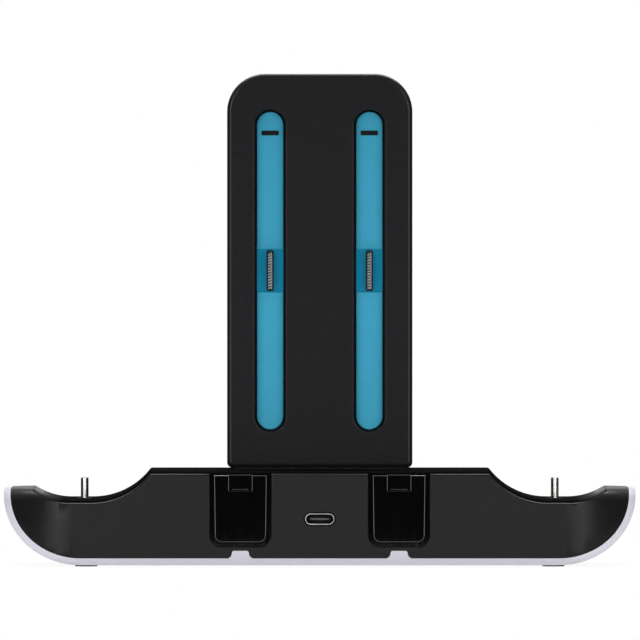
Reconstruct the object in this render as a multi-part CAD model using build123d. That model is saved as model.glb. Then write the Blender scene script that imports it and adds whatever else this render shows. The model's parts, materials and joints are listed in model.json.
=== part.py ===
from build123d import *
import math
import os

# Charging dock for game controllers. Millimetres.
# X runs along the dock, Y runs away from the near face, Z runs up from the ground.

# Base, overall
base_width = 199.6
base_depth = 64.0
deck_height = 30.1
wing_length = 46.0
deck_corner = 1.2
well_floor = 20.9
flat_inboard = 2.4
flat_outboard = 4.5
horn_height = 24.5
horn_length = 9.3
end_run = 24.5
end_rise = 22.2
corner_at_top = 24.0
corner_flat = 1.0
corner_overrun = 2.0

# Base, walls and fits
cradle_wall = 2.15
body_wall = 2.4
end_wall = 1.8
horn_roof = 2.2
cover_wall = 2.4
lip_height = 0.7
rim_inset = 1.2
rim_round = 0.9
fit_gap = 0.15
slide_gap = 0.05
margin = 5.0

# Feet
foot_diameter = 7.0
foot_thickness = 1.05
foot_proud = 0.55
foot_inset_x = 26.1
foot_inset_y = 10.0

# Pockets in the near face
pocket_spacing = 50.0
pocket_width = 19.4
pocket_floor = 6.4
pocket_corner = 3.2
pocket_edge = 0.4
insert_top_width = 16.9
insert_foot_width = 16.3
insert_floor = 7.7
insert_top_gap = 0.5
insert_corner = 2.4
insert_recess = 0.4
insert_edge = 0.35
insert_flange = 1.5
insert_flange_wall = 1.2
latch_width = 7.5
latch_height = 5.3
latch_proud = 0.4
latch_rise = 0.2
latch_edge = 0.15

# Tabs of the cradle in the near face
tab_top_width = 5.0
tab_waist_width = 5.8
tab_foot_width = 7.6
tab_height = 2.4
tab_waist_height = 0.7
tab_round = 0.6
tab_gap = 0.1

# Charge inlet
inlet_width = 9.1
inlet_height = 3.4
inlet_wall = 0.35
inlet_length = 7.3
inlet_centre = 15.1
inlet_recess = 0.2
inlet_hole_gap = 0.3
inlet_hole_edge = 0.3
tongue_width = 6.7
tongue_wall = 0.7
tongue_corner = 0.2
tongue_length = 5.0
inlet_block_length = 1.5

# Charge plugs
plug_inset = 25.3
plug_width = 8.25
plug_thickness = 2.4
plug_wall = 0.3
plug_rise = 6.65
plug_root = 1.0
plug_edge = 0.15
core_slot_width = 6.9
core_slot_thickness = 0.8
core_slot_depth = 5.0
core_slot_corner = 0.25
carrier_width = 13.0
carrier_length = 8.0
gasket_ring = 1.1
gasket_wall = 1.0
gasket_proud = 0.25

# Main board
board_wall = 1.6
board_inset_x = 16.8
board_inset_y = 14.0
board_neck_width = 20.0
board_post_diameter = 5.0
board_post_to_plug = 14.5
board_post_inner = 20.0
board_post_inset = 5.5
chip_size = 8.0
chip_wall = 1.1
chip_to_plug = 38.5
coil_size = 7.0
coil_wall = 3.2
coil_to_plug = 25.5
coil_corner = 1.2

# Tower, overall
tower_width = 58.8
tower_height = 124.9
tower_depth = 18.5
tower_setback = 36.0
tower_lift = 0.5
tower_corner = 12.0
tower_foot_corner = 1.6
tower_edge = 1.3
tower_wall = 2.2
tower_rear_depth = 5.0

# Tower neck and retainer
neck_width = 26.3
tenon_width = 24.0
tenon_depth = 8.8
tenon_centre = 8.9
retainer_width = 40.0
retainer_depth = 18.0
retainer_wall = 2.4
retainer_screw_spacing = 18.8

# Rails
rail_spacing = 31.5
slot_width = 9.85
slot_length = 102.3
slot_edge = 0.4
pad_recess = 4.6
pad_groove = 0.7
groove_depth = 6.2
collar_wall = 1.2
liner_wall = 1.4
liner_edge = 0.3
bezel_length = 13.8
bezel_sink = 0.6
bar_width = 2.3
bar_length = 12.9
bar_recess = 1.2
bar_corner = 0.5
bar_edge = 0.2
contact_width = 1.5
contact_length = 11.9
contact_wall = 0.4
contact_sink = 0.1
stop_width = 5.5
stop_height = 1.5
stop_inset = 7.45
stop_proud = 0.35
stop_corner = 0.4
magnet_width = 6.0
magnet_length = 14.0
magnet_wall = 1.8
magnet_inset = 15.15

# Tower board and ribbon
tower_board_width = 42.0
tower_board_height = 34.0
tower_board_wall = 1.4
tower_board_gap = 2.0
tower_post_diameter = 5.0
tower_post_rise = 13.0
ribbon_width = 12.0
ribbon_wall = 0.6
ribbon_gap = 0.5
socket_width = 15.0
socket_depth = 5.0
socket_height = 5.0

# Screws
screw_shank = 2.2
screw_head = 4.4
screw_head_wall = 1.4
screw_gap = 0.1
screw_drive = 1.8
screw_drive_depth = 0.7
screw_drive_sides = 6
base_screw_length = 14.0
base_post_diameter = 6.4
base_post_inset_x = 8.8
base_post_inset_y = 8.0
board_screw_length = 7.0
tower_screw_length = 10.0
tower_boss_diameter = 5.0
tower_boss_spacing_x = 49.2
tower_boss_rise = 40.0
tower_board_screw_length = 6.0
retainer_screw_length = 4.2

# Places worked out from the sizes above
half_width = base_width / 2
half_depth = base_depth / 2
near_face = -half_depth
deck_edge = half_width - wing_length
plug_x = half_width - plug_inset
pocket_x = pocket_spacing / 2
rail_x = rail_spacing / 2
horn_edge = half_width - horn_length
corner_at_ground = half_depth - corner_flat
corner_start = half_width + corner_overrun - corner_at_top
rim_floor = well_floor - lip_height
horn_round = horn_height - rim_floor
cradle_floor = foot_proud + cradle_wall
foot_x = half_width - foot_inset_x
foot_y = half_depth - foot_inset_y
base_post_x = deck_edge - base_post_inset_x
base_post_y = half_depth - base_post_inset_y
board_length = base_width - 2 * board_inset_x
board_width = base_depth - 2 * board_inset_y
board_post_outer = plug_x - board_post_to_plug
board_post_y = board_width / 2 - board_post_inset
board_top = inlet_centre - inlet_height / 2
board_bottom = board_top - board_wall
ledge = body_wall - rim_inset
well_underside = well_floor - cover_wall
deck_underside = deck_height - cover_wall

tower_front_y = near_face + tower_setback
tower_back_y = tower_front_y + tower_depth
tower_part_y = tower_back_y - tower_rear_depth
tower_foot = deck_height + tower_lift
tower_centre = tower_foot + tower_height / 2
pad_y = tower_front_y + pad_recess
liner_y = tower_front_y + groove_depth
liner_back_y = liner_y + liner_wall
bezel_y = pad_y + bezel_sink
bar_y = tower_front_y + bar_recess
tower_board_y = liner_back_y + tower_board_gap
ribbon_y = tower_board_y + tower_board_wall
ribbon_centre_y = ribbon_y + ribbon_wall / 2
tenon_y = tower_front_y + tenon_centre
stop_rise = slot_length / 2 - stop_inset
magnet_rise = slot_length / 2 - magnet_inset
pad_width = slot_width - 2 * pad_groove
pad_length = slot_length - 2 * pad_groove


# Small helpers
def slab(outline, y_from, y_to):
    """Extrude an outline drawn in X and Z between two depths."""
    return extrude(Plane.XZ.offset(-y_from) * outline, amount=y_from - y_to)


def plate(outline, z_from, z_to):
    """Extrude an outline drawn in X and Y between two heights."""
    return extrude(Plane.XY.offset(z_from) * outline, amount=z_to - z_from)


def through(outline):
    """Extrude an outline drawn in X and Z past both faces of the base."""
    return slab(outline, near_face - margin, half_depth + margin)


def both_sides(half):
    """Join an outline's right half with its mirror image."""
    return half + mirror(half, about=Plane.YZ)


def corners(spacing_x, spacing_y):
    """Four places about the origin."""
    return [(sx * spacing_x / 2, sy * spacing_y / 2) for sx in (-1, 1) for sy in (-1, 1)]


def board_posts():
    """Places of the posts that carry the main board, in X and Y."""
    inner = corners(2 * board_post_inner, 2 * board_post_y)
    return inner + corners(2 * board_post_outer, 2 * board_post_y)


def upright_slot(length, width):
    """A slot with round ends that stands on end."""
    return SlotOverall(length, width, rotation=90)


def screw(length):
    """A screw with its head's seat at the origin and its shank pointing down."""
    head = plate(Circle(screw_head / 2), 0, screw_head_wall)
    shank = plate(Circle(screw_shank / 2), -length, 0)
    socket = RegularPolygon(screw_drive / 2, screw_drive_sides)
    drive = plate(socket, screw_head_wall - screw_drive_depth, screw_head_wall)
    return head + shank - drive


def screw_hole(depth):
    """The hole that a screw's shank fills, down from the origin."""
    return plate(Circle(screw_shank / 2 + screw_gap), -depth, 0)


# Outlines of the base
def cradle_outline(inset, top):
    """Underside and ends of the base, set in by a wall, up to a height."""
    centre_x = half_width - end_run
    centre_z = foot_proud + end_rise
    curve = EllipticalCenterArc((centre_x, centre_z), end_run - inset, end_rise - inset, 270, arc_size=90)
    rest = Polyline(curve @ 1, (half_width - inset, top), (0, top), (0, foot_proud + inset), curve @ 0)
    return both_sides(make_face([curve, rest]))


def saddle_outline(drop, half_span):
    """All that lies under the deck and wells, set down square to their surface."""
    flat_in = plug_x - flat_inboard
    flat_out = plug_x + flat_outboard
    rise_in = deck_height - well_floor
    run_in = flat_in - deck_edge
    radius_in = (run_in**2 + rise_in**2) / (2 * rise_in)
    rise_out = horn_height - well_floor
    run_out = horn_edge - flat_out
    radius_out = (run_out**2 + rise_out**2) / (2 * rise_out)
    corner_z = deck_height - deck_corner
    centre_in = well_floor + radius_in
    lean = math.degrees(math.asin((centre_in - corner_z) / (radius_in + deck_corner)))
    corner_x = flat_in - (radius_in + deck_corner) * math.cos(math.radians(lean))
    sweep = math.degrees(math.asin((half_span - flat_out) / (radius_out + drop)))
    shoulder = CenterArc((corner_x, corner_z), deck_corner - drop, 90, lean - 90)
    inner = CenterArc((flat_in, centre_in), radius_in + drop, 180 + lean, 90 - lean)
    outer = CenterArc((flat_out, well_floor + radius_out), radius_out + drop, 270, sweep)
    flat = Line(inner @ 1, outer @ 0)
    rest = Polyline(outer @ 1, (half_span, -margin), (0, -margin), (0, deck_height - drop), shoulder @ 0)
    return both_sides(make_face([shoulder, inner, flat, outer, rest]))


def horn_outline():
    """All that lies under both horns."""
    span = half_width + margin - horn_edge
    height = horn_height + margin
    horn = Pos(horn_edge + span / 2, horn_height - height / 2) * Rectangle(span, height)
    return both_sides(horn)


def plan_block(inset):
    """The base seen from above, set in by a wall, with both horns rounded."""

    def section(z):
        radius = corner_at_ground + (corner_at_top - corner_at_ground) * z / horn_height - inset
        size_x = 2 * (corner_start + radius)
        return Plane.XY.offset(z) * RectangleRounded(size_x, base_depth - 2 * inset, radius)

    wings = loft([section(0), section(horn_height)], ruled=True)
    wings = fillet(wings.faces().sort_by(Axis.Z)[-1].edges(), horn_round)
    middle = Box(2 * plug_x, base_depth - 2 * inset, 2 * (deck_height + margin))
    return wings + middle


def pocket_outline():
    """Opening of a pocket in the near face, open at its top."""
    height = deck_height + margin - pocket_floor
    opening = Pos(0, pocket_floor + height / 2) * Rectangle(pocket_width, height)
    return fillet(opening.vertices().group_by(Axis.Y)[0], pocket_corner)


def tab_outline(gap):
    """Tab that stands on the cradle's floor, grown by a gap."""
    top = cradle_floor + tab_height + gap
    waist = cradle_floor + tab_waist_height + gap
    points = [
        (tab_foot_width / 2 + gap, cradle_floor),
        (tab_waist_width / 2 + gap, waist),
        (tab_top_width / 2 + gap, top),
    ]
    points += [(-x, z) for x, z in reversed(points)]
    outline = make_face(Polyline(*points, close=True))
    return fillet(outline.vertices().group_by(Axis.Y)[-1], tab_round)


def inlet_outline(grow):
    """Round-ended mouth of the inlet, grown all round."""
    return SlotOverall(inlet_width + 2 * grow, inlet_height + 2 * grow)


def plug_outline(grow):
    """Round-ended section of a charge plug, long side along Y, grown all round."""
    return SlotOverall(plug_width + 2 * grow, plug_thickness + 2 * grow, rotation=90)


# Base, outer pieces
def make_cradle():
    outer = through(cradle_outline(0, horn_height))
    cradle = (outer - through(cradle_outline(cradle_wall, horn_height + margin))) & plan_block(0)
    for side in (-1, 1):
        cradle += slab(Pos(side * pocket_x, 0) * tab_outline(0), near_face, near_face + body_wall)
    for x, y in board_posts():
        post = Pos(x, y) * plate(Circle(board_post_diameter / 2), cradle_floor - slide_gap, board_bottom)
        cradle += post - Pos(x, y, board_bottom) * screw_hole(board_screw_length)
    for x, y in corners(2 * foot_x, 2 * foot_y):
        recess = Circle(foot_diameter / 2 + screw_gap)
        cradle -= Pos(x, y) * plate(recess, 0, foot_thickness)
    for x, y in corners(2 * base_post_x, 2 * base_post_y):
        cradle -= Pos(x, y) * plate(Circle(screw_head / 2 + fit_gap), 0, foot_proud + screw_head_wall)
        cradle -= Pos(x, y, cradle_floor) * screw_hole(cradle_wall)
    return cradle


def body_cavity():
    """Room inside the body, open below and under the top cover."""
    room = Rectangle(base_width, 2 * (horn_height - horn_roof))
    side = cradle_outline(cradle_wall + end_wall, horn_height) & room
    floor_span = base_width - 2 * end_run
    floor = Rectangle(floor_span, 2 * well_floor)
    mouth_height = deck_height + margin - rim_floor + horn_round
    mouth = Pos(0, deck_height + margin - mouth_height / 2) * Rectangle(2 * (horn_edge - ledge), mouth_height)
    return through(side + floor + mouth) & plan_block(body_wall)


def make_body():
    body = rimmed_saddle() + through(horn_outline())
    body &= through(cradle_outline(cradle_wall, horn_height + margin + deck_height))
    body = (body & plan_block(0)) - body_cavity()
    wall_y = near_face + body_wall
    for side in (-1, 1):
        body -= slab(Pos(side * pocket_x, 0) * pocket_outline(), near_face - margin, wall_y + margin)
        body -= slab(Pos(side * pocket_x, 0) * tab_outline(tab_gap), near_face - margin, wall_y + margin)
    mouth = inlet_outline(inlet_hole_gap)
    body -= slab(Pos(0, inlet_centre) * mouth, near_face - margin, wall_y + margin)
    body = chamfer(flat_face(body, near_face).inner_wires()[0].edges(), inlet_hole_edge)
    return fillet(pocket_edges(body), pocket_edge)


def flat_face(body, y):
    """The large flat face at one depth."""
    level = body.faces().filter_by(Axis.Y).filter_by_position(Axis.Y, y - slide_gap, y + slide_gap)
    return level.sort_by(Face.area)[-1]


def rimmed_saddle():
    """All that lies under the top cover's lip, with its near and far rims rounded."""
    block = slab(saddle_outline(lip_height, horn_edge), near_face, half_depth)
    rims = []
    for y in (near_face, half_depth):
        edges = flat_face(block, y).edges()
        rims += [edge for edge in edges if edge.center().Z > rim_floor - slide_gap]
    return fillet(rims, rim_round)


def pocket_edges(body):
    """Edges of both pocket openings on the near face, below the rim."""
    reach = pocket_width / 2 + slide_gap
    top = deck_height - lip_height - rim_round - slide_gap
    edges = []
    for edge in flat_face(body, near_face).outer_wire().edges():
        middle = edge @ 0.5
        if abs(abs(middle.X) - pocket_x) < reach and pocket_floor - slide_gap < middle.Z < top:
            edges.append(edge)
    return edges


def make_cover():
    lip = saddle_outline(0, horn_edge - fit_gap) - saddle_outline(lip_height, horn_edge)
    spigot_span = horn_edge - ledge - fit_gap
    underside = Pos(0, -cover_wall) * saddle_outline(0, horn_edge)
    spigot = saddle_outline(lip_height, spigot_span) - underside
    cover = (through(lip) & plan_block(rim_inset)) + (through(spigot) & plan_block(body_wall + fit_gap))
    for x, y in corners(2 * base_post_x, 2 * base_post_y):
        post = Pos(x, y) * plate(Circle(base_post_diameter / 2), cradle_floor, deck_underside + slide_gap)
        cover += post - Pos(x, y, cradle_floor) * mirror(screw_hole(base_screw_length), about=Plane.XY)
    for side in (-1, 1):
        place = Pos(side * plug_x, 0)
        cover -= place * plate(plug_outline(fit_gap), well_underside - margin, well_floor + margin)
        seat = plug_outline(gasket_ring + slide_gap)
        cover -= place * plate(seat, well_floor - gasket_wall, well_floor + margin)
    hole = Pos(0, tenon_y) * Rectangle(tenon_width + 2 * fit_gap, tenon_depth + 2 * fit_gap)
    return cover - plate(hole, deck_underside - margin, deck_height + margin)


def make_insert():
    top = deck_height - lip_height - insert_top_gap
    points = [
        (insert_foot_width / 2, insert_floor),
        (insert_top_width / 2, top),
        (-insert_top_width / 2, top),
        (-insert_foot_width / 2, insert_floor),
    ]
    panel = make_face(Polyline(*points, close=True))
    panel = fillet(panel.vertices().group_by(Axis.Y)[0], insert_corner)
    front = near_face + insert_recess
    wall_y = near_face + body_wall
    insert = slab(panel, front, wall_y)
    insert = fillet(insert.faces().sort_by(Axis.Y)[0].edges(), insert_edge)
    flange_top = deck_underside - fit_gap
    flange_height = flange_top - pocket_floor + insert_flange
    flange = Rectangle(pocket_width + 2 * insert_flange, flange_height)
    flange = Pos(0, flange_top - flange_height / 2) * flange
    return insert + slab(flange, wall_y, wall_y + insert_flange_wall)


def make_latch():
    top = deck_height - lip_height - insert_top_gap + latch_rise
    front = near_face + insert_recess
    outline = Pos(0, top - latch_height / 2) * Rectangle(latch_width, latch_height)
    latch = slab(outline, front - latch_proud, front)
    return fillet(latch.faces().sort_by(Axis.Y)[0].edges(), latch_edge)


def make_foot():
    foot = plate(Circle(foot_diameter / 2), 0, foot_thickness)
    return chamfer(foot.faces().sort_by(Axis.Z)[0].edges(), slide_gap)


# Base, inner pieces
def make_main_board():
    neck_length = half_depth - body_wall - fit_gap
    board = Rectangle(board_length, board_width)
    board += Pos(0, -neck_length / 2) * Rectangle(board_neck_width, neck_length)
    for x, y in board_posts():
        board -= Pos(x, y) * Circle(screw_shank / 2 + screw_gap)
    return plate(board, board_bottom, board_top)


def make_inlet_shell():
    ring = inlet_outline(0) - inlet_outline(-inlet_wall)
    front = near_face + inlet_recess
    return slab(Pos(0, inlet_centre) * ring, front, front + inlet_length)


def make_inlet_tongue():
    back = near_face + inlet_recess + inlet_length
    block_y = back - inlet_block_length
    block = slab(Pos(0, inlet_centre) * inlet_outline(-inlet_wall - slide_gap), block_y, back)
    blade = Pos(0, inlet_centre) * RectangleRounded(tongue_width, tongue_wall, tongue_corner)
    return block + slab(blade, block_y - tongue_length, block_y)


def make_plug_shell():
    ring = plug_outline(0) - plug_outline(-plug_wall)
    shell = plate(ring, board_top + plug_root, well_floor + plug_rise)
    rim = shell.faces().sort_by(Axis.Z)[-1].outer_wire().edges()
    return fillet(rim, plug_edge)


def make_plug_core():
    grow = -plug_wall - slide_gap
    top = well_floor + plug_rise - plug_edge
    core = plate(plug_outline(grow), board_top + plug_root, top)
    slot = RectangleRounded(core_slot_thickness, core_slot_width, core_slot_corner)
    return core - plate(slot, top - core_slot_depth, top + margin)


def make_plug_carrier():
    block = Rectangle(carrier_length, carrier_width)
    carrier = plate(block, board_top, well_underside)
    return carrier - plate(plug_outline(slide_gap), board_top + plug_root, well_underside + margin)


def make_plug_gasket():
    ring = plug_outline(gasket_ring) - plug_outline(slide_gap)
    gasket = plate(ring, well_floor - gasket_wall, well_floor + gasket_proud)
    rim = gasket.faces().sort_by(Axis.Z)[-1].outer_wire().edges()
    return fillet(rim, gasket_proud / 2)


def make_chip():
    return plate(Rectangle(chip_size, chip_size), board_top, board_top + chip_wall)


def make_coil():
    return plate(RectangleRounded(coil_size, coil_size, coil_corner), board_top, board_top + coil_wall)


def make_socket():
    outline = Pos(0, ribbon_centre_y) * Rectangle(socket_width, socket_depth)
    return plate(outline, board_top, board_top + socket_height)


# Tower
def tower_outline(inset):
    """Face of the tower, set in by a wall."""
    outline = Pos(0, tower_centre) * Rectangle(tower_width - 2 * inset, tower_height - 2 * inset)
    outline = fillet(outline.vertices().group_by(Axis.Y)[-1], tower_corner - inset)
    foot_radius = max(tower_foot_corner - inset, slide_gap)
    return fillet(outline.vertices().group_by(Axis.Y)[0], foot_radius)


def boss_places():
    """Screw bosses between the tower's two halves, in X and Z."""
    return [(x, tower_centre + z) for x, z in corners(tower_boss_spacing_x, 2 * tower_boss_rise)]


def post_places():
    """Posts that carry the tower board, in X and Z."""
    return [(0, tower_centre + side * tower_post_rise) for side in (-1, 1)]


def forward_hole(depth):
    """A screw's hole that runs towards the near face from the origin."""
    return Rot(-90, 0, 0) * screw_hole(depth)


def make_tower_front():
    front = slab(tower_outline(0), tower_front_y, tower_part_y)
    front = fillet(front.faces().sort_by(Axis.Y)[0].edges(), tower_edge)
    wall_y = tower_front_y + tower_wall
    front -= slab(tower_outline(tower_wall), wall_y, tower_part_y)
    for side in (-1, 1):
        place = Pos(side * rail_x, tower_centre)
        collar = upright_slot(slot_length + 2 * collar_wall, slot_width + 2 * collar_wall)
        front += slab(place * collar, wall_y, liner_y)
    for side in (-1, 1):
        place = Pos(side * rail_x, tower_centre)
        front -= slab(place * upright_slot(slot_length, slot_width), tower_front_y - margin, liner_y)
    rims = [wire.edges() for wire in front.faces().sort_by(Axis.Y)[0].inner_wires()]
    front = fillet([edge for rim in rims for edge in rim], slot_edge)
    for x, z in boss_places():
        front += slab(Pos(x, z) * Circle(tower_boss_diameter / 2), wall_y, tower_part_y)
        front -= Pos(x, tower_part_y, z) * forward_hole(tower_screw_length)
    for x, z in post_places():
        front += slab(Pos(x, z) * Circle(tower_post_diameter / 2), wall_y, tower_board_y)
        front -= Pos(x, tower_board_y, z) * forward_hole(tower_board_screw_length)
    neck = Pos(0, tenon_y) * Rectangle(neck_width, tenon_depth)
    front += plate(neck, deck_height, tower_foot)
    tenon = Pos(0, tenon_y) * Rectangle(tenon_width, tenon_depth)
    front += plate(tenon, deck_underside + fit_gap, deck_height)
    passage = Pos(0, ribbon_centre_y) * Rectangle(ribbon_width + 2 * ribbon_gap, ribbon_wall + 2 * ribbon_gap)
    front -= plate(passage, deck_underside, tower_foot + tower_wall)
    for side in (-1, 1):
        bore = mirror(screw_hole(retainer_screw_length), about=Plane.XY)
        front -= Pos(side * retainer_screw_spacing / 2, tenon_y, deck_underside) * bore
    return front


def make_tower_rear():
    rear = slab(tower_outline(0), tower_part_y, tower_back_y)
    rear = fillet(rear.faces().sort_by(Axis.Y)[-1].edges(), tower_edge)
    rear -= slab(tower_outline(tower_wall), tower_part_y, tower_back_y - tower_wall)
    seat_y = tower_back_y - screw_head_wall
    for x, z in boss_places():
        rear += slab(Pos(x, z) * Circle(tower_boss_diameter / 2), tower_part_y, tower_back_y - tower_wall)
        rear -= slab(Pos(x, z) * Circle(screw_head / 2 + fit_gap), seat_y, tower_back_y + margin)
        rear -= slab(Pos(x, z) * Circle(screw_shank / 2 + screw_gap), tower_part_y - margin, seat_y)
    return rear


def make_retainer():
    outline = Rectangle(retainer_width, retainer_depth)
    outline -= Pos(0, ribbon_centre_y - tenon_y) * Rectangle(
        ribbon_width + 2 * ribbon_gap, ribbon_wall + 2 * ribbon_gap
    )
    for side in (-1, 1):
        outline -= Pos(side * retainer_screw_spacing / 2, 0) * Circle(screw_shank / 2 + screw_gap)
    return plate(Pos(0, tenon_y) * outline, deck_underside - retainer_wall, deck_underside)


def make_liner():
    base = upright_slot(slot_length + 2 * collar_wall, slot_width + 2 * collar_wall)
    pad = slab(upright_slot(pad_length, pad_width), pad_y, liner_y)
    pad = fillet(pad.faces().sort_by(Axis.Y)[0].edges(), liner_edge)
    liner = pad + slab(base, liner_y, liner_back_y)
    liner -= slab(Rectangle(pad_width, bezel_length), pad_y - margin, liner_back_y + margin)
    stop = Pos(0, stop_rise) * RectangleRounded(stop_width, stop_height, stop_corner)
    return liner - slab(stop, pad_y - margin, liner_back_y + margin)


def make_bezel():
    outline = Rectangle(pad_width - 2 * slide_gap, bezel_length - 2 * slide_gap)
    outline -= RectangleRounded(bar_width, bar_length, bar_corner)
    return slab(outline, bezel_y, tower_board_y)


def make_bar():
    outline = RectangleRounded(bar_width - 2 * slide_gap, bar_length - 2 * slide_gap, bar_corner - slide_gap)
    bar = slab(outline, bar_y, tower_board_y)
    bar = fillet(bar.faces().sort_by(Axis.Y)[0].edges(), bar_edge)
    bed = Rectangle(contact_width, contact_length)
    return bar - slab(bed, bar_y - margin, bar_y + contact_sink + contact_wall)


def make_contact():
    outline = Rectangle(contact_width - 2 * slide_gap, contact_length - 2 * slide_gap)
    return slab(outline, bar_y + contact_sink, bar_y + contact_sink + contact_wall)


def make_stop():
    size = (stop_width - 2 * slide_gap, stop_height - 2 * slide_gap)
    outline = Pos(0, stop_rise) * RectangleRounded(*size, stop_corner - slide_gap)
    return slab(outline, pad_y - stop_proud, liner_back_y)


def make_magnet():
    return slab(Rectangle(magnet_width, magnet_length), liner_back_y, liner_back_y + magnet_wall)


def make_tower_board():
    outline = Pos(0, tower_centre) * Rectangle(tower_board_width, tower_board_height)
    for x, z in post_places():
        outline -= Pos(x, z) * Circle(screw_shank / 2 + screw_gap)
    return slab(outline, tower_board_y, ribbon_y)


def make_ribbon():
    top = tower_centre - tower_post_rise - screw_head / 2 - ribbon_gap
    outline = Pos(0, ribbon_centre_y) * Rectangle(ribbon_width, ribbon_wall)
    return plate(outline, board_top + socket_height, top)


# Groups of like screws
def make_base_screws():
    turned = Rot(180, 0, 0) * screw(base_screw_length)
    seat = foot_proud + screw_head_wall
    return [Pos(x, y, seat) * turned for x, y in corners(2 * base_post_x, 2 * base_post_y)]


def make_board_screws():
    return [Pos(x, y, board_top) * screw(board_screw_length) for x, y in board_posts()]


def make_retainer_screws():
    turned = Rot(180, 0, 0) * screw(retainer_screw_length)
    seat = deck_underside - retainer_wall
    return [Pos(side * retainer_screw_spacing / 2, tenon_y, seat) * turned for side in (-1, 1)]


def make_tower_screws():
    turned = Rot(-90, 0, 0) * screw(tower_screw_length)
    return [Pos(x, tower_back_y - screw_head_wall, z) * turned for x, z in boss_places()]


def make_tower_board_screws():
    turned = Rot(-90, 0, 0) * screw(tower_board_screw_length)
    return [Pos(x, ribbon_y, z) * turned for x, z in post_places()]


# Build every piece and write it out
pieces = {
    "cradle": make_cradle(),
    "body_shell": make_body(),
    "top_cover": make_cover(),
    "main_board": make_main_board(),
    "inlet_shell": make_inlet_shell(),
    "inlet_tongue": make_inlet_tongue(),
    "ribbon_socket": make_socket(),
    "ribbon_cable": make_ribbon(),
    "tower_front": make_tower_front(),
    "tower_rear": make_tower_rear(),
    "tower_retainer": make_retainer(),
    "tower_board": make_tower_board(),
    "base_screws": Compound(children=make_base_screws()),
    "board_screws": Compound(children=make_board_screws()),
    "retainer_screws": Compound(children=make_retainer_screws()),
    "tower_screws": Compound(children=make_tower_screws()),
    "tower_board_screws": Compound(children=make_tower_board_screws()),
}

for name, side in (("left", -1), ("right", 1)):
    at_pocket = Pos(side * pocket_x, 0, 0)
    at_plug = Pos(side * plug_x, 0, 0)
    at_rail = Pos(side * rail_x, 0, tower_centre)
    pieces[f"{name}_pocket_insert"] = at_pocket * make_insert()
    pieces[f"{name}_latch_tab"] = at_pocket * make_latch()
    pieces[f"{name}_plug_shell"] = at_plug * make_plug_shell()
    pieces[f"{name}_plug_core"] = at_plug * make_plug_core()
    pieces[f"{name}_plug_carrier"] = at_plug * make_plug_carrier()
    pieces[f"{name}_plug_gasket"] = at_plug * make_plug_gasket()
    pieces[f"{name}_charge_chip"] = Pos(side * (plug_x - chip_to_plug), 0, 0) * make_chip()
    pieces[f"{name}_power_coil"] = Pos(side * (plug_x - coil_to_plug), 0, 0) * make_coil()
    pieces[f"{name}_rail_liner"] = at_rail * make_liner()
    pieces[f"{name}_connector_bezel"] = at_rail * make_bezel()
    pieces[f"{name}_connector_bar"] = at_rail * make_bar()
    pieces[f"{name}_contact_strip"] = at_rail * make_contact()
    pieces[f"{name}_stop_pad"] = at_rail * make_stop()
    for level, lift in (("lower", -magnet_rise), ("upper", magnet_rise)):
        pieces[f"{name}_{level}_magnet"] = Pos(0, 0, lift) * at_rail * make_magnet()
    for end, y in (("near", -foot_y), ("far", foot_y)):
        pieces[f"{name}_{end}_foot"] = Pos(side * foot_x, y, 0) * make_foot()

os.makedirs("parts", exist_ok=True)
for name, piece in pieces.items():
    export_step(piece, f"parts/{name}.step")
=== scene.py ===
import json
import math

import bmesh
import bpy
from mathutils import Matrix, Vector


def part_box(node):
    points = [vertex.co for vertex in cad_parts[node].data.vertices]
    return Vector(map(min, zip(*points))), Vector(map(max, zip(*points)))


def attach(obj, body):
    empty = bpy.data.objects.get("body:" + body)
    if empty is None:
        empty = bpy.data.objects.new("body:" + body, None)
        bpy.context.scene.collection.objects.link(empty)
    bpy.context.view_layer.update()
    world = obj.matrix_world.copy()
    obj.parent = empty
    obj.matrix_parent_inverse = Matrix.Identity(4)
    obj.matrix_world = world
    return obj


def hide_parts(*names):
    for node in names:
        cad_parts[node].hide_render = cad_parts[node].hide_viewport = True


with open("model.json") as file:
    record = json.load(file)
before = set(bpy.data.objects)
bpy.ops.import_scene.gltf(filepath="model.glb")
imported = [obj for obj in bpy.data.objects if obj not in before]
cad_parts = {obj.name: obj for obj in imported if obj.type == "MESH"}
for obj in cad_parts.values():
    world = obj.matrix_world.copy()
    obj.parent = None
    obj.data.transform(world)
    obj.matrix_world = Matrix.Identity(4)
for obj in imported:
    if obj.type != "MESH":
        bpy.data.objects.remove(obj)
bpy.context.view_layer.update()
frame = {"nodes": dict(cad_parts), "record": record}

# Charging dock for game controllers. Metres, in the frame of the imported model.
nodes = frame["nodes"]
SIDES = ("left", "right")
MM = 0.001

# Camera, far away with a long lens
CAMERA_PLACE = (0.08 * MM, -5032 * MM, 135 * MM)
CAMERA_DOWN_DEG = 0.655
CAMERA_LENS = 892.9
CAMERA_SENSOR = 36.0
CLIP_NEAR = 0.1
CLIP_FAR = 100.0

# Lamps
SIDE_LAMP_PLACE = (0.42, -1.04, 0.06)
SIDE_LAMP_SIZE = (0.52, 0.60)
SIDE_LAMP_AIM = (0.0, 0.0, -0.16)
SIDE_LAMP_SPREAD_DEG = 47
LEFT_LAMP_POWER = 0.54
RIGHT_LAMP_POWER = 0.50
TOP_LAMP_PLACE = (0.0, 0.28, 0.90)
TOP_LAMP_SIZE = (1.20, 0.25)
TOP_LAMP_AIM = (0.0, 0.0, 0.08)
TOP_LAMP_SPREAD_DEG = 180
TOP_LAMP_POWER = 14.0

# Room: how bright its horizon and top look in reflections, and where its top and its white far side begin
ROOM_LIGHT = 0.50
ROOM_HORIZON = 0.02
ROOM_TOP = 0.65
ROOM_RISE = (0.05, 0.65)
ROOM_TURN = (0.93, 0.995)

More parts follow.
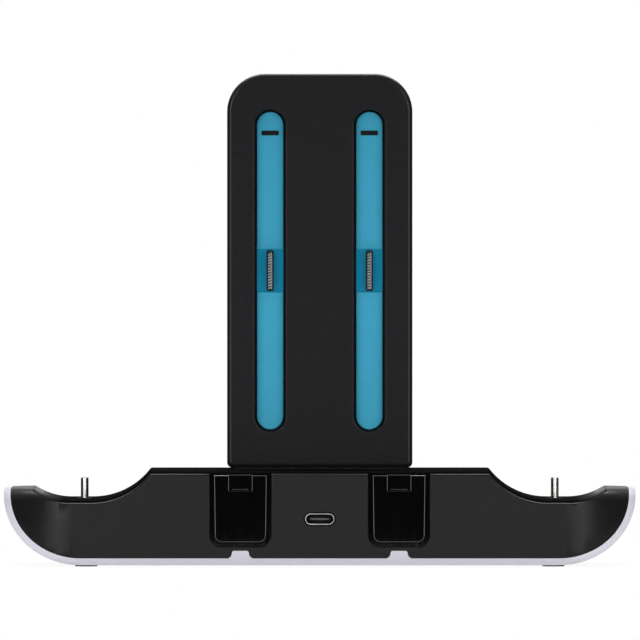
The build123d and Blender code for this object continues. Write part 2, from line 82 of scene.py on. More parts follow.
# Floor: a disc that keeps the shadow near the dock and turns white away from it
FLOOR_TONE = (0.90, 0.90, 0.90)
FLOOR_ROUGH = 0.9
FLOOR_RADIUS = 0.24
FLOOR_SEGMENTS = 96
FLOOR_DROP = 0.02 * MM
FLOOR_WHITE_NEAR = 0.94
FLOOR_FADE = (0.11, 0.215)

# Colours, linear
WHITE = (0.468, 0.456, 0.508)
BLACK = (0.0042, 0.0042, 0.0048)
BLACK_TOWER = (0.0085, 0.0085, 0.0096)
BLACK_COVER = (0.0035, 0.0035, 0.0040)
# Lighter black of the cover at the horns: painted sheen on their rounded tops
BLACK_HORN_PAINTED_SHEEN = (0.028, 0.028, 0.030)
BLACK_GLOSS = (0.0005, 0.0005, 0.0007)
BLACK_SATIN = (0.0080, 0.0080, 0.0086)
BLACK_RUBBER = (0.012, 0.012, 0.013)
# Lighter grey of the latch's grip pegs: painted highlight on them
GREY_PEG_PAINTED_HIGHLIGHT = (0.040, 0.040, 0.041)
GREY_TONGUE = (0.040, 0.040, 0.042)
GREY_PLASTIC = (0.060, 0.060, 0.064)
GREY_FERRITE = (0.050, 0.048, 0.046)
BLUE = (0.034, 0.302, 0.455)
# Darker blue of the bezels beside the contact bars: painted shade of the bars' shadows
BLUE_BEZEL_PAINTED_SHADE = (0.008, 0.248, 0.420)
STEEL = (0.62, 0.60, 0.57)
STEEL_INLET = (0.60, 0.60, 0.61)
STEEL_DARK = (0.30, 0.30, 0.31)
STEEL_TEETH = (0.30, 0.31, 0.32)
# Dark metal of the contact strips: painted shade in the gaps between the teeth
STEEL_BED_PAINTED_SHADE = (0.050, 0.052, 0.055)
BOARD_GREEN = (0.010, 0.090, 0.035)
BOARD_COPPER = (0.055, 0.200, 0.085)
FILM = (0.33, 0.15, 0.03)

# Where the cover's plastic turns from dull to polished and to a lighter painted sheen, by distance from the
# middle
POLISH_AND_PAINTED_SHEEN_SPAN = (81 * MM, 88 * MM)

# Moulded plastic: flow marks, grain and light specks
FLOW_SCALE = 28.0
GRAIN_SCALE = 3200.0
GRAIN_STRENGTH = 0.35
GRAIN_DEPTH = 0.012 * MM
SPECK_SHARE = 0.35
SPECK_TONE = 1.35
ROUGH_SPREAD = 0.05

# Polished plastic: waviness and hairline scuffs
WAVE_SCALE = 160.0
WAVE_TONES = (0.85, 1.15)
WAVE_STRENGTH = 0.10
WAVE_DEPTH = 0.02 * MM
SCUFF_SCALE = 900.0
SCUFF_STRETCH = (1.0, 1.0, 0.06)
SCUFF_SPAN = (0.45, 0.75)
SCUFF_ROUGH = 0.04

# Metal: streaks, stains and bright edges
STREAK_SCALE = 5200.0
STREAK_TONES = (0.80, 1.12)
STREAK_SMOOTHER = 0.06
STREAK_ROUGHER = 0.08
STREAK_STRENGTH = 0.25
STREAK_DEPTH = 0.004 * MM
PLUG_STREAK_SCALE = 1400.0
PLUG_STREAK_STRENGTH = 0.05
STAIN_SCALE = 240.0
STAIN_SHARE = 0.35
STAIN_TONE = 0.62
METAL_EDGE_TONE = 1.25

# Rubber: grain and dust
DUST_SCALE = 420.0
DUST_TONES = (0.8, 1.9)
RUBBER_SCALE = 2600.0
RUBBER_ROUGH = (0.72, 0.90)
RUBBER_GLOSS = 0.15
RUBBER_STRENGTH = 0.5
RUBBER_DEPTH = 0.02 * MM

# Circuit board: tracks and cloudy lacquer
TRACK_SCALE = 210.0
TRACK_WIDTH = 0.03
TRACK_BIAS = 0.1
TRACK_STRENGTH = 0.3
TRACK_DEPTH = 0.03 * MM
BOARD_TONE = 1.25
LACQUER_SCALE = 600.0
LACQUER_SHARE = 0.4
LACQUER_TONE = 0.6
LACQUER_ROUGH = (0.28, 0.42)

# Edges lightened by rubbing, painted highlights along the tower's edges, and softened edges
EDGE_MASK_SAMPLES = 4
EDGE_MASK_TURN = (0.72, 0.985)
EDGE_WEAR_AND_HIGHLIGHT_WIDTH = 0.25 * MM
METAL_WEAR_WIDTH = 0.12 * MM
EDGE_WIDTH = 0.18 * MM
EDGE_SEGMENTS = 2
EDGE_ANGLE_DEG = 40
WELD_GAP = 0.002 * MM

# Contact teeth
TEETH = 13
TOOTH_SHARE = 0.56
TOOTH_SLANT = 0.34 * MM
TOOTH_RISE = 0.09 * MM
TOOTH_EDGE = 0.05 * MM
TOOTH_MARGIN = 0.06 * MM
SPINE_WIDTH = 0.26 * MM

# Contacts and tip on the inlet's tongue
TONGUE_PADS = 8
TONGUE_SPAN = 5.4 * MM
TONGUE_PAD_WIDTH = 0.30 * MM
TONGUE_PAD_LENGTH = 3.6 * MM
TONGUE_PAD_START = 0.5 * MM
TONGUE_PAD_RISE = 0.03 * MM
TONGUE_PAD_EDGE = 0.005 * MM
TONGUE_HALF_WALL = 0.35 * MM
TIP_WIDTH = 5.7 * MM
TIP_HALF_WALL = 0.31 * MM
TIP_RISE = 0.05 * MM
TIP_EDGE = 0.04 * MM

# Dark sleeve in the inlet's mouth, standing in for the shade inside it
INLET_WALL = 0.35 * MM
SLEEVE_COVER = 0.19 * MM
SLEEVE_WALL = 0.06 * MM
SLEEVE_GAP = 0.005 * MM
SLEEVE_RISE = 0.02 * MM
SLEEVE_DEPTH = 5.7 * MM

# Latch tabs and their grip
LATCH_SIDE = 0.06 * MM
LATCH_SIDE_DROP = 0.012 * MM
LATCH_END = 0.25 * MM
LATCH_END_DROP = 0.25 * MM
PEGS = 7
PEG_PITCH = 0.76 * MM
PEG_WIDTH = 0.34 * MM
PEG_LOW = 0.42 * MM
PEG_HEIGHT = 0.40 * MM
PEG_RISE = 0.10 * MM
PEG_EDGE = 0.05 * MM
PEG_ROOT = 0.02 * MM

# Dark seals in the rail grooves and under the tower, which stand in for the shade in those gaps
SLOT_WIDTH = 9.85 * MM
SLOT_LENGTH = 102.3 * MM
GROOVE_WIDTH = 0.70 * MM
GROOVE_DEPTH = 1.60 * MM
SEAL_RISE = 0.55 * MM
SEAL_SHOULDER = 0.20 * MM
SEAL_GAP = 0.02 * MM
SEAL_STEPS = 24
TOWER_SEAL_INSET = 1.2 * MM
TOWER_SEAL_WIDTH = 1.6 * MM
TOWER_SEAL_CORNER = 2.4 * MM
TOWER_SEAL_BULGE = 0.15 * MM
CORNER_STEPS = 8


# Node helpers
def add_node(tree, kind, values=None, **settings):
    """A new node with its settings and input values."""
    node = tree.nodes.new(kind)
    for name, value in settings.items():
        setattr(node, name, value)
    for name, value in (values or {}).items():
        node.inputs[name].default_value = value
    return node


def object_noise(tree, scale, detail=3.0, rough=0.55, stretch=(1.0, 1.0, 1.0)):
    """Noise in the object's own coordinates, so its grain has one size on every piece."""
    place = add_node(tree, "ShaderNodeTexCoord")
    mapping = add_node(tree, "ShaderNodeMapping", {"Scale": stretch})
    noise = add_node(tree, "ShaderNodeTexNoise", {"Scale": scale, "Detail": detail, "Roughness": rough})
    tree.links.new(place.outputs["Object"], mapping.inputs["Vector"])
    tree.links.new(mapping.outputs["Vector"], noise.inputs["Vector"])
    return noise.outputs["Fac"]


def remap(tree, value, low, high, span=(0.3, 0.7)):
    """A value stretched from a span to the range from low to high."""
    node = add_node(tree, "ShaderNodeMapRange", {"From Min": span[0], "From Max": span[1]})
    node.inputs["To Min"].default_value = low
    node.inputs["To Max"].default_value = high
    tree.links.new(value, node.inputs["Value"])
    return node.outputs["Result"]


def join(tree, operation, first, second):
    """Two values joined by one math operation."""
    node = add_node(tree, "ShaderNodeMath", operation=operation)
    tree.links.new(first, node.inputs[0])
    tree.links.new(second, node.inputs[1])
    return node.outputs["Value"]


def mix_colours(tree, factor, low, high):
    """One colour or socket into another."""
    node = add_node(tree, "ShaderNodeMix", data_type="RGBA")
    for name, colour in (("A", low), ("B", high)):
        socket = [s for s in node.inputs if s.name == name and s.type == "RGBA"][0]
        if isinstance(colour, bpy.types.NodeSocket):
            tree.links.new(colour, socket)
        else:
            socket.default_value = (*colour, 1.0)
    tree.links.new(factor, node.inputs["Factor"])
    return [s for s in node.outputs if s.type == "RGBA"][0]


def shade(colour, share):
    """A colour made lighter or darker."""
    return tuple(channel * share for channel in colour)


def two_tones(tree, value, colour, low, high):
    """A colour that runs from a darker to a lighter tone of itself along a noise."""
    return mix_colours(tree, remap(tree, value, 0.0, 1.0), shade(colour, low), shade(colour, high))


def edge_mask(tree, radius):
    """How close the surface is to a sharp edge, from 0 to 1."""
    bevel = add_node(tree, "ShaderNodeBevel", {"Radius": radius}, samples=EDGE_MASK_SAMPLES)
    surface = add_node(tree, "ShaderNodeNewGeometry")
    turn = add_node(tree, "ShaderNodeVectorMath", operation="DOT_PRODUCT")
    tree.links.new(bevel.outputs["Normal"], turn.inputs[0])
    tree.links.new(surface.outputs["Normal"], turn.inputs[1])
    return remap(tree, turn.outputs["Value"], 1.0, 0.0, EDGE_MASK_TURN)


def grain_bump(tree, shader, height, strength, distance):
    """Bump the shader's normal by a height."""
    bump = add_node(tree, "ShaderNodeBump", {"Strength": strength, "Distance": distance})
    tree.links.new(height, bump.inputs["Height"])
    tree.links.new(bump.outputs["Normal"], shader.inputs["Normal"])


def start_material(name):
    """An empty material with one principled shader."""
    material = bpy.data.materials.new(name)
    material.use_nodes = True
    return material, material.node_tree, material.node_tree.nodes["Principled BSDF"]


# Materials
def moulded_plastic(name, colour, rough, gloss, edge_wear_and_highlight=1.25, mottle=0.08):
    """Moulded plastic: spark-eroded grain, faint flow marks and lighter edges, from rubbing on most pieces
    and as a painted highlight on the tower.
    """
    material, tree, shader = start_material(name)
    flow = object_noise(tree, FLOW_SCALE, detail=4.0, rough=0.6)
    fine = object_noise(tree, GRAIN_SCALE, detail=2.0, rough=0.5)
    tone = two_tones(tree, flow, colour, 1 - mottle, 1 + mottle)
    speck = mix_colours(tree, remap(tree, fine, 0.0, SPECK_SHARE), tone, shade(colour, SPECK_TONE))
    # Lighter edges: rubbing on most pieces, a painted highlight on the tower's edges
    worn_and_highlit = mix_colours(tree, edge_mask(tree, EDGE_WEAR_AND_HIGHLIGHT_WIDTH), speck, shade(colour, edge_wear_and_highlight))
    tree.links.new(worn_and_highlit, shader.inputs["Base Color"])
    tree.links.new(remap(tree, fine, rough - ROUGH_SPREAD, rough + ROUGH_SPREAD), shader.inputs["Roughness"])
    shader.inputs["Specular IOR Level"].default_value = gloss
    grain_bump(tree, shader, fine, GRAIN_STRENGTH, GRAIN_DEPTH)
    return material


def cover_plastic(name, colour, horn_sheen, rough, polished, gloss):
    """The cover's plastic: dull on the deck and in the wells, polished towards the horns, where its colour
    turns lighter as a painted sheen.
    """
    material = moulded_plastic(name, colour, rough, gloss)
    tree = material.node_tree
    shader = tree.nodes["Principled BSDF"]
    place = add_node(tree, "ShaderNodeTexCoord")
    parts = add_node(tree, "ShaderNodeSeparateXYZ")
    tree.links.new(place.outputs["Object"], parts.inputs["Vector"])
    side = add_node(tree, "ShaderNodeMath", operation="ABSOLUTE")
    tree.links.new(parts.outputs["X"], side.inputs[0])
    dull = shader.inputs["Base Color"].links[0].from_socket
    near_horn = remap(tree, side.outputs["Value"], 0.0, 1.0, POLISH_AND_PAINTED_SHEEN_SPAN)
    # Towards the horns the colour turns lighter: painted sheen
    tree.links.new(mix_colours(tree, near_horn, dull, horn_sheen), shader.inputs["Base Color"])
    tree.links.new(remap(tree, near_horn, rough, polished, span=(0.0, 1.0)), shader.inputs["Roughness"])
    return material


def gloss_plastic(name, colour, rough, gloss):
    """Polished plastic: a clear skin with faint waviness and hairline scuffs."""
    material, tree, shader = start_material(name)
    wave = object_noise(tree, WAVE_SCALE, detail=2.0, rough=0.4)
    scuff = object_noise(tree, SCUFF_SCALE, detail=3.0, rough=0.6, stretch=SCUFF_STRETCH)
    tree.links.new(two_tones(tree, wave, colour, *WAVE_TONES), shader.inputs["Base Color"])
    tree.links.new(remap(tree, scuff, rough, rough + SCUFF_ROUGH, SCUFF_SPAN), shader.inputs["Roughness"])
    shader.inputs["Specular IOR Level"].default_value = gloss
    grain_bump(tree, shader, wave, WAVE_STRENGTH, WAVE_DEPTH)
    return material


def drawn_metal(name, colour, rough, stretch, scale=STREAK_SCALE, strength=STREAK_STRENGTH):
    """Drawn metal: fine streaks along one way, with stains and bright edges."""
    material, tree, shader = start_material(name)
    streak = object_noise(tree, scale, detail=3.0, rough=0.6, stretch=stretch)
    cloud = object_noise(tree, STAIN_SCALE, detail=3.0, rough=0.5)
    tone = two_tones(tree, streak, colour, *STREAK_TONES)
    stain = mix_colours(tree, remap(tree, cloud, 0.0, STAIN_SHARE), tone, shade(colour, STAIN_TONE))
    bright = mix_colours(tree, edge_mask(tree, METAL_WEAR_WIDTH), stain, shade(colour, METAL_EDGE_TONE))
    tree.links.new(bright, shader.inputs["Base Color"])
    uneven = remap(tree, streak, rough - STREAK_SMOOTHER, rough + STREAK_ROUGHER)
    tree.links.new(uneven, shader.inputs["Roughness"])
    shader.inputs["Metallic"].default_value = 1.0
    grain_bump(tree, shader, streak, strength, STREAK_DEPTH)
    return material


def soft_rubber(name, colour):
    """Rubber: a dull skin with dusty patches."""
    material, tree, shader = start_material(name)
    dust = object_noise(tree, DUST_SCALE, detail=4.0, rough=0.65)
    fine = object_noise(tree, RUBBER_SCALE, detail=2.0, rough=0.5)
    tree.links.new(two_tones(tree, dust, colour, *DUST_TONES), shader.inputs["Base Color"])
    tree.links.new(remap(tree, fine, *RUBBER_ROUGH), shader.inputs["Roughness"])
    shader.inputs["Specular IOR Level"].default_value = RUBBER_GLOSS
    grain_bump(tree, shader, fine, RUBBER_STRENGTH, RUBBER_DEPTH)
    return material


def circuit_board(name):
    """Lacquered laminate with copper tracks and cloudy lacquer."""
    material, tree, shader = start_material(name)
    place = add_node(tree, "ShaderNodeTexCoord")
    layout = {"Scale": TRACK_SCALE, "Mortar Size": TRACK_WIDTH, "Bias": TRACK_BIAS}
    tracks = add_node(tree, "ShaderNodeTexBrick", layout)
    tracks.inputs["Color1"].default_value = (*BOARD_GREEN, 1.0)
    tracks.inputs["Color2"].default_value = (*shade(BOARD_GREEN, BOARD_TONE), 1.0)
    tracks.inputs["Mortar"].default_value = (*BOARD_COPPER, 1.0)
    tree.links.new(place.outputs["Object"], tracks.inputs["Vector"])
    cloud = object_noise(tree, LACQUER_SCALE, detail=3.0, rough=0.6)
    haze = remap(tree, cloud, 0.0, LACQUER_SHARE)
    tone = mix_colours(tree, haze, tracks.outputs["Color"], shade(BOARD_GREEN, LACQUER_TONE))
    tree.links.new(tone, shader.inputs["Base Color"])
    tree.links.new(remap(tree, cloud, *LACQUER_ROUGH), shader.inputs["Roughness"])
    grain_bump(tree, shader, tracks.outputs["Fac"], TRACK_STRENGTH, TRACK_DEPTH)
    return material


def make_materials():
    """Every material by its plain name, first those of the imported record's slots."""
    across = (0.1, 1.0, 1.0)
    along_y = (1.0, 0.05, 1.0)
    upright = (1.0, 1.0, 0.04)
    even = (1.0, 1.0, 1.0)
    made = [
        moulded_plastic("white_shell", WHITE, rough=0.42, gloss=0.40, edge_wear_and_highlight=1.06, mottle=0.02),
        moulded_plastic("black_shell", BLACK, rough=0.36, gloss=0.172),
        gloss_plastic("black_gloss", BLACK_GLOSS, rough=0.05, gloss=0.90),
        moulded_plastic("blue_liner", BLUE, rough=0.48, gloss=0.12, edge_wear_and_highlight=1.15, mottle=0.05),
        # The bezel's darker blue is painted shade where the contact bar shadows it
        moulded_plastic("blue_bezel", BLUE_BEZEL_PAINTED_SHADE, rough=0.50, gloss=0.04, edge_wear_and_highlight=1.15, mottle=0.05),
        moulded_plastic("stop_plastic", BLACK_SATIN, rough=0.45, gloss=0.06),
        moulded_plastic("connector_black", BLACK_SATIN, rough=0.42, gloss=0.10),
        moulded_plastic("inner_plastic", GREY_PLASTIC, rough=0.55, gloss=0.35),
        drawn_metal("contact_metal", STEEL_TEETH, rough=0.38, stretch=across),
        drawn_metal("plug_steel", STEEL, rough=0.30, stretch=upright, scale=PLUG_STREAK_SCALE,
                    strength=PLUG_STREAK_STRENGTH),
        drawn_metal("inlet_steel", STEEL_INLET, rough=0.30, stretch=along_y),
        drawn_metal("screw_steel", STEEL_DARK, rough=0.36, stretch=even),
        drawn_metal("magnet_metal", STEEL, rough=0.20, stretch=even),
        moulded_plastic("coil_ferrite", GREY_FERRITE, rough=0.70, gloss=0.30, mottle=0.20),
        circuit_board("board_laminate"),
        gloss_plastic("ribbon_film", FILM, rough=0.22, gloss=0.50),
        soft_rubber("gasket_rubber", BLACK_RUBBER),
        soft_rubber("foot_rubber", BLACK_RUBBER),
        # The tower's much lighter edges are a painted highlight along its rounded edges
        moulded_plastic("tower_black", BLACK_TOWER, rough=0.24, gloss=0.17, edge_wear_and_highlight=4.0),
        cover_plastic("cover_black", BLACK_COVER, BLACK_HORN_PAINTED_SHEEN, rough=1.0, polished=0.26, gloss=0.005),
        moulded_plastic("tongue_grey", GREY_TONGUE, rough=0.45, gloss=0.30),
        moulded_plastic("peg_grey_painted_highlight", GREY_PEG_PAINTED_HIGHLIGHT, rough=0.50, gloss=0.20),
        drawn_metal("contact_bed_painted_shade", STEEL_BED_PAINTED_SHADE, rough=0.45, stretch=across),
    ]
    return {material.name.split(".")[0]: material for material in made}


def dress(piece, material):
    """Give a piece one material."""
    piece.data.materials.clear()
    piece.data.materials.append(material)


def soften_edges(node):
    """Break a moulded node's sharp edges so that they catch the light."""
    weld = node.modifiers.new("weld", "WELD")
    weld.merge_threshold = WELD_GAP
    bevel = node.modifiers.new("edges", "BEVEL")
    bevel.width = EDGE_WIDTH
    bevel.segments = EDGE_SEGMENTS
    bevel.limit_method = "ANGLE"
    bevel.angle_limit = math.radians(EDGE_ANGLE_DEG)
    bevel.harden_normals = False


# Shapes of the detail pieces
def block(mesh, low, high, chamfer, slant=0.0):
    """A small block between two corners, narrowed at its near face and slanted up to the right."""
    x0, y0, z0 = low
    x1, y1, z1 = high
    near = [(x0 + chamfer, y0, z0 + chamfer), (x1 - chamfer, y0, z0 + chamfer + slant),
            (x1 - chamfer, y0, z1 - chamfer + slant), (x0 + chamfer, y0, z1 - chamfer)]
    far = [(x0, y1, z0), (x1, y1, z0 + slant), (x1, y1, z1 + slant), (x0, y1, z1)]
    near_ring = [mesh.verts.new(point) for point in near]
    far_ring = [mesh.verts.new(point) for point in far]
    mesh.faces.new(near_ring)
    mesh.faces.new(list(reversed(far_ring)))
    for i in range(len(near_ring)):
        j = (i + 1) % len(near_ring)
        mesh.faces.new((near_ring[j], near_ring[i], far_ring[i], far_ring[j]))


def crowned_plate(mesh, low, high):
    """A plate between two corners whose near face slopes off gently at its sides and steeply at its ends."""
    x0, near_y, z0 = low
    x1, far_y, z1 = high
    columns = [(x0, LATCH_SIDE_DROP), (x0 + LATCH_SIDE, 0.0), (x1 - LATCH_SIDE, 0.0), (x1, LATCH_SIDE_DROP)]
    rows = [(z0, LATCH_END_DROP), (z0 + LATCH_END, 0.0), (z1 - LATCH_END, 0.0), (z1, LATCH_END_DROP)]
    grid = []
    for x, side_drop in columns:
        grid.append([mesh.verts.new((x, near_y + max(side_drop, end_drop), z)) for z, end_drop in rows])
    for left, right in zip(grid, grid[1:]):
        for k in range(len(rows) - 1):
            mesh.faces.new((left[k], right[k], right[k + 1], left[k + 1]))
    bottom = [column[0] for column in grid]
    top = [column[-1] for column in grid]
    rim = bottom + grid[-1][1:-1] + list(reversed(top)) + list(reversed(grid[0][1:-1]))
    back = [mesh.verts.new((point.co.x, far_y, point.co.z)) for point in rim]
    for i in range(len(rim)):
        j = (i + 1) % len(rim)
        mesh.faces.new((rim[j], rim[i], back[i], back[j]))
    mesh.faces.new(list(reversed(back)))


def band(mesh, loops):
    """A closed band through loops of points, each joined to the next and the last to the first."""
    rows = [[mesh.verts.new(point) for point in loop] for loop in loops]
    for k, row in enumerate(rows):
        after = rows[(k + 1) % len(rows)]
        for i in range(len(row)):
            j = (i + 1) % len(row)
            mesh.faces.new((row[i], row[j], after[j], after[i]))
    bmesh.ops.recalc_face_normals(mesh, faces=mesh.faces)


def upright_slot(width, length):
    """Points round an upright slot about the origin, in X and Z."""
    radius = width / 2
    rise = length / 2 - radius
    points = []
    for end in (1, -1):
        for i in range(SEAL_STEPS + 1):
            turn = math.pi * i / SEAL_STEPS
            points.append((end * radius * math.cos(turn), end * (rise + radius * math.sin(turn))))
    return points


def round_corners(half_x, half_y, radius):
    """Points round a rectangle with round corners about the origin, in X and Y."""
    points = []
    for quarter, (sx, sy) in enumerate(((1, 1), (-1, 1), (-1, -1), (1, -1))):
        for i in range(CORNER_STEPS + 1):
            turn = math.pi / 2 * (quarter + i / CORNER_STEPS)
            x = sx * (half_x - radius) + radius * math.cos(turn)
            y = sy * (half_y - radius) + radius * math.sin(turn)
            points.append((x, y))
    return points


# Detail pieces
def add_piece(name, mesh, material):
    """A new piece of the object, fixed to the dock."""
    data = bpy.data.meshes.new(name)
    mesh.to_mesh(data)
    mesh.free()
    piece = bpy.data.objects.new(name, data)
    bpy.context.scene.collection.objects.link(piece)
    dress(piece, material)
    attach(piece, "root")
    return piece


def add_contact_teeth(side, materials):
    """Slanted teeth across a contact strip's near face, with a plain spine along their right end."""
    low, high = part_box(f"{side}_contact_strip")
    near_y = low.y - TOOTH_RISE
    spine_x = high.x - TOOTH_MARGIN - SPINE_WIDTH
    pitch = (high.z - low.z - TOOTH_SLANT) / TEETH
    mesh = bmesh.new()
    for i in range(TEETH):
        z0 = low.z + i * pitch
        z1 = z0 + TOOTH_SHARE * pitch
        block(mesh, (low.x + TOOTH_MARGIN, near_y, z0), (spine_x, low.y, z1), TOOTH_EDGE, TOOTH_SLANT)
    block(mesh, (spine_x, near_y, low.z), (high.x - TOOTH_MARGIN, low.y, high.z), TOOTH_EDGE)
    add_piece(f"{side}_contact_teeth", mesh, materials["contact_metal"])


def add_tongue_contacts(materials):
    """Contact pads on both faces of the inlet's tongue."""
    low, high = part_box("inlet_tongue")
    middle_z = (low.z + high.z) / 2
    y0 = low.y + TONGUE_PAD_START
    y1 = y0 + TONGUE_PAD_LENGTH
    mesh = bmesh.new()
    for i in range(TONGUE_PADS):
        x0 = -TONGUE_SPAN / 2 + i * TONGUE_SPAN / (TONGUE_PADS - 1) - TONGUE_PAD_WIDTH / 2
        x1 = x0 + TONGUE_PAD_WIDTH
        for way in (-1, 1):
            root = middle_z + way * TONGUE_HALF_WALL
            z0, z1 = sorted((root, root + way * TONGUE_PAD_RISE))
            block(mesh, (x0, y0, z0), (x1, y1, z1), TONGUE_PAD_EDGE)
    add_piece("tongue_contacts", mesh, materials["contact_metal"])


def add_tongue_tip(materials):
    """A grey tip on the inlet's tongue."""
    low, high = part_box("inlet_tongue")
    middle_z = (low.z + high.z) / 2
    corner = (-TIP_WIDTH / 2, low.y - TIP_RISE, middle_z - TIP_HALF_WALL)
    mesh = bmesh.new()
    block(mesh, corner, (TIP_WIDTH / 2, low.y, middle_z + TIP_HALF_WALL), TIP_EDGE)
    add_piece("tongue_tip", mesh, materials["tongue_grey"])


def add_inlet_shade_sleeve(materials):
    """A dark sleeve that lines the inlet's mouth and covers the inner part of its rim, as painted shade
    inside the mouth.
    """
    low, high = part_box("inlet_shell")
    centre_z = (low.z + high.z) / 2
    rim_inset = INLET_WALL - SLEEVE_COVER
    outer_inset = INLET_WALL + SLEEVE_GAP
    inner_inset = INLET_WALL + SLEEVE_WALL
    near_y = low.y - SLEEVE_RISE
    seat_y = low.y - SLEEVE_GAP
    deep_y = low.y + SLEEVE_DEPTH
    rows = [(rim_inset, near_y), (inner_inset, near_y), (inner_inset, deep_y),
            (outer_inset, deep_y), (outer_inset, seat_y), (rim_inset, seat_y)]
    loops = []
    for inset, y in rows:
        outline = upright_slot(high.z - low.z - 2 * inset, high.x - low.x - 2 * inset)
        loops.append([(x, y, centre_z + z) for z, x in outline])
    mesh = bmesh.new()
    band(mesh, loops)
    add_piece("inlet_shade_sleeve", mesh, materials["connector_black"])


def add_latch(side, materials):
    """A latch tab with a row of grip pegs above its lower edge."""
    low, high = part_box(f"{side}_latch_tab")
    plate_y = low.y + PEG_RISE
    plate = bmesh.new()
    crowned_plate(plate, (low.x, plate_y, low.z), tuple(high))
    tab = add_piece(f"{side}_latch_plate", plate, materials["black_gloss"])
    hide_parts(f"{side}_latch_tab")
    middle_x = (low.x + high.x) / 2
    z0 = low.z + PEG_LOW
    pegs = bmesh.new()
    for i in range(PEGS):
        x0 = middle_x + (i - (PEGS - 1) / 2) * PEG_PITCH - PEG_WIDTH / 2
        block(pegs, (x0, low.y, z0), (x0 + PEG_WIDTH, plate_y + PEG_ROOT, z0 + PEG_HEIGHT), PEG_EDGE)
    # The pegs' lighter grey is a painted highlight on the grip
    add_piece(f"{side}_latch_pegs", pegs, materials["peg_grey_painted_highlight"])


def add_rail_shade_seal(side, materials):
    """A dark seal in the groove round a blue rail, standing in for the shade in that groove."""
    low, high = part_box(f"{side}_rail_liner")
    centre_x = (low.x + high.x) / 2
    centre_z = (low.z + high.z) / 2
    floor_y = low.y + GROOVE_DEPTH
    crest_y = floor_y - SEAL_RISE
    shoulder_y = crest_y + SEAL_SHOULDER
    inner = GROOVE_WIDTH - SEAL_GAP
    rows = [(SEAL_GAP, floor_y), (SEAL_GAP, shoulder_y), (GROOVE_WIDTH / 2, crest_y),
            (inner, shoulder_y), (inner, floor_y)]
    loops = []
    for inset, y in rows:
        outline = upright_slot(SLOT_WIDTH - 2 * inset, SLOT_LENGTH - 2 * inset)
        loops.append([(centre_x + x, y, centre_z + z) for x, z in outline])
    mesh = bmesh.new()
    band(mesh, loops)
    add_piece(f"{side}_rail_shade_seal", mesh, materials["gasket_rubber"])


def add_tower_shade_seal(materials):
    """A dark seal between the deck and the tower's foot, which fills the gap there and stands in for its
    shade.
    """
    front_low, front_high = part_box("tower_front")
    rear_low, rear_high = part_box("tower_rear")
    deck_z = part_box("top_cover")[1].z
    foot_z = rear_low.z
    centre_y = (front_low.y + rear_high.y) / 2
    half_x = front_high.x - TOWER_SEAL_INSET
    half_y = (rear_high.y - front_low.y) / 2 - TOWER_SEAL_INSET
    middle_z = (deck_z + foot_z) / 2
    rows = [(0.0, deck_z), (-TOWER_SEAL_BULGE, middle_z), (0.0, foot_z),
            (TOWER_SEAL_WIDTH, foot_z), (TOWER_SEAL_WIDTH, deck_z)]
    loops = []
    for inset, z in rows:
        outline = round_corners(half_x - inset, half_y - inset, TOWER_SEAL_CORNER - inset)
        loops.append([(x, centre_y + y, z) for x, y in outline])
    mesh = bmesh.new()
    band(mesh, loops)
    add_piece("tower_shade_seal", mesh, materials["gasket_rubber"])


# Stage
def seen_rays(tree):
    """One for the rays that show a surface to the camera, straight or by way of gloss or glass."""
    path = add_node(tree, "ShaderNodeLightPath")
    seen = join(tree, "MAXIMUM", path.outputs["Is Camera Ray"], path.outputs["Is Glossy Ray"])
    return join(tree, "MAXIMUM", seen, path.outputs["Is Transmission Ray"])


def add_floor():
    """A pale floor that keeps the dock's soft shadow and fades to white around it."""
    data = bpy.data.meshes.new("floor")
    mesh = bmesh.new()
    bmesh.ops.create_circle(mesh, cap_ends=True, radius=FLOOR_RADIUS, segments=FLOOR_SEGMENTS)
    mesh.to_mesh(data)
    mesh.free()
    floor = bpy.data.objects.new("floor", data)
    floor.location.z = -FLOOR_DROP
    bpy.context.scene.collection.objects.link(floor)
    material, tree, shader = start_material("floor")
    shader.inputs["Base Color"].default_value = (*FLOOR_TONE, 1.0)
    shader.inputs["Roughness"].default_value = FLOOR_ROUGH
    shader.inputs["Specular IOR Level"].default_value = 0.0
    white = add_node(tree, "ShaderNodeEmission", {"Color": (1.0, 1.0, 1.0, 1.0), "Strength": 1.0})
    place = add_node(tree, "ShaderNodeTexCoord")
    length = add_node(tree, "ShaderNodeVectorMath", operation="LENGTH")
    tree.links.new(place.outputs["Object"], length.inputs[0])
    fade = remap(tree, length.outputs["Value"], FLOOR_WHITE_NEAR, 1.0, FLOOR_FADE)
    mixed = add_node(tree, "ShaderNodeMixShader")
    tree.links.new(join(tree, "MULTIPLY", seen_rays(tree), fade), mixed.inputs["Fac"])
    tree.links.new(shader.outputs["BSDF"], mixed.inputs[1])
    tree.links.new(white.outputs["Emission"], mixed.inputs[2])
    tree.links.new(mixed.outputs["Shader"], tree.nodes["Material Output"].inputs["Surface"])
    floor.data.materials.append(material)


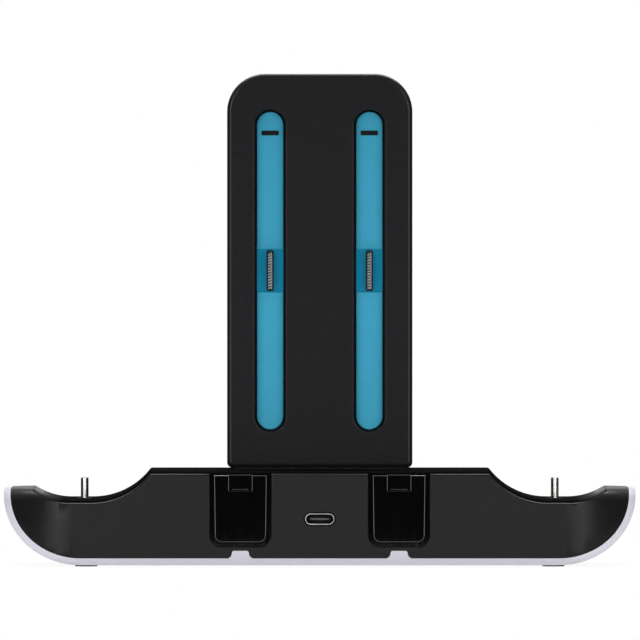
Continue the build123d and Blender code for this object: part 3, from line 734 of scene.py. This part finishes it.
def set_world():
    """White where the camera looks and in reflections of the far side, with even light on the dock."""
    world = bpy.data.worlds.new("studio")
    bpy.context.scene.world = world
    world.use_nodes = True
    tree = world.node_tree
    room = tree.nodes["Background"]
    room.inputs["Color"].default_value = (1.0, 1.0, 1.0, 1.0)
    place = add_node(tree, "ShaderNodeTexCoord")
    parts = add_node(tree, "ShaderNodeSeparateXYZ")
    tree.links.new(place.outputs["Generated"], parts.inputs["Vector"])
    above = remap(tree, parts.outputs["Z"], ROOM_HORIZON, ROOM_TOP, ROOM_RISE)
    far = remap(tree, parts.outputs["Y"], 0.0, 1.0, ROOM_TURN)
    path = add_node(tree, "ShaderNodeLightPath")
    level = add_node(tree, "ShaderNodeMix", {"B": ROOM_LIGHT}, data_type="FLOAT")
    tree.links.new(path.outputs["Is Diffuse Ray"], level.inputs["Factor"])
    tree.links.new(above, level.inputs["A"])
    tree.links.new(level.outputs["Result"], room.inputs["Strength"])
    white = add_node(tree, "ShaderNodeBackground", {"Color": (1.0, 1.0, 1.0, 1.0), "Strength": 1.0})
    mirrored = join(tree, "MULTIPLY", seen_rays(tree), far)
    mixed = add_node(tree, "ShaderNodeMixShader")
    tree.links.new(join(tree, "MAXIMUM", path.outputs["Is Camera Ray"], mirrored), mixed.inputs["Fac"])
    tree.links.new(room.outputs["Background"], mixed.inputs[1])
    tree.links.new(white.outputs["Background"], mixed.inputs[2])
    tree.links.new(mixed.outputs["Shader"], tree.nodes["World Output"].inputs["Surface"])


def add_lamp(name, place, size, aim, spread_deg, power):
    """A soft rectangular lamp aimed at a point of the dock."""
    data = bpy.data.lights.new(name, "AREA")
    data.shape = "RECTANGLE"
    data.size, data.size_y = size
    data.spread = math.radians(spread_deg)
    data.energy = power
    lamp = bpy.data.objects.new(name, data)
    bpy.context.scene.collection.objects.link(lamp)
    lamp.location = place
    lamp.rotation_euler = (Vector(aim) - Vector(place)).to_track_quat("-Z", "Y").to_euler()
    lamp.visible_camera = False


def add_lamps():
    """Two soft boxes in front and one above and behind."""
    x, y, z = SIDE_LAMP_PLACE
    for name, way, power in (("left_box", -1, LEFT_LAMP_POWER), ("right_box", 1, RIGHT_LAMP_POWER)):
        add_lamp(name, (way * x, y, z), SIDE_LAMP_SIZE, SIDE_LAMP_AIM, SIDE_LAMP_SPREAD_DEG, power)
    add_lamp("top_box", TOP_LAMP_PLACE, TOP_LAMP_SIZE, TOP_LAMP_AIM, TOP_LAMP_SPREAD_DEG, TOP_LAMP_POWER)


def add_camera():
    """The camera at the viewing angle of the near side."""
    data = bpy.data.cameras.new("camera")
    data.lens = CAMERA_LENS
    data.sensor_width = CAMERA_SENSOR
    data.clip_start = CLIP_NEAR
    data.clip_end = CLIP_FAR
    camera = bpy.data.objects.new("camera", data)
    bpy.context.scene.collection.objects.link(camera)
    camera.location = CAMERA_PLACE
    camera.rotation_euler = (math.radians(90 - CAMERA_DOWN_DEG), 0.0, 0.0)
    bpy.context.scene.camera = camera


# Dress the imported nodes
materials = make_materials()
for part in frame["record"]["subparts"]:
    dress(nodes[part["node"]], materials[part["material_slot"]])
for name in ("tower_front", "tower_rear"):
    dress(nodes[name], materials["tower_black"])
dress(nodes["top_cover"], materials["cover_black"])
for name in ("top_cover", "body_shell", "cradle", "tower_rear"):
    soften_edges(nodes[name])

# Add the small details
for side in SIDES:
    # The contact strip is made dark as painted shade between the teeth
    dress(nodes[f"{side}_contact_strip"], materials["contact_bed_painted_shade"])
    add_contact_teeth(side, materials)
    add_latch(side, materials)
    add_rail_shade_seal(side, materials)
add_tongue_contacts(materials)
add_tongue_tip(materials)
add_inlet_shade_sleeve(materials)
add_tower_shade_seal(materials)

# Stage, light and camera
add_floor()
set_world()
add_lamps()
add_camera()
bpy.context.scene.view_settings.view_transform = "Standard"
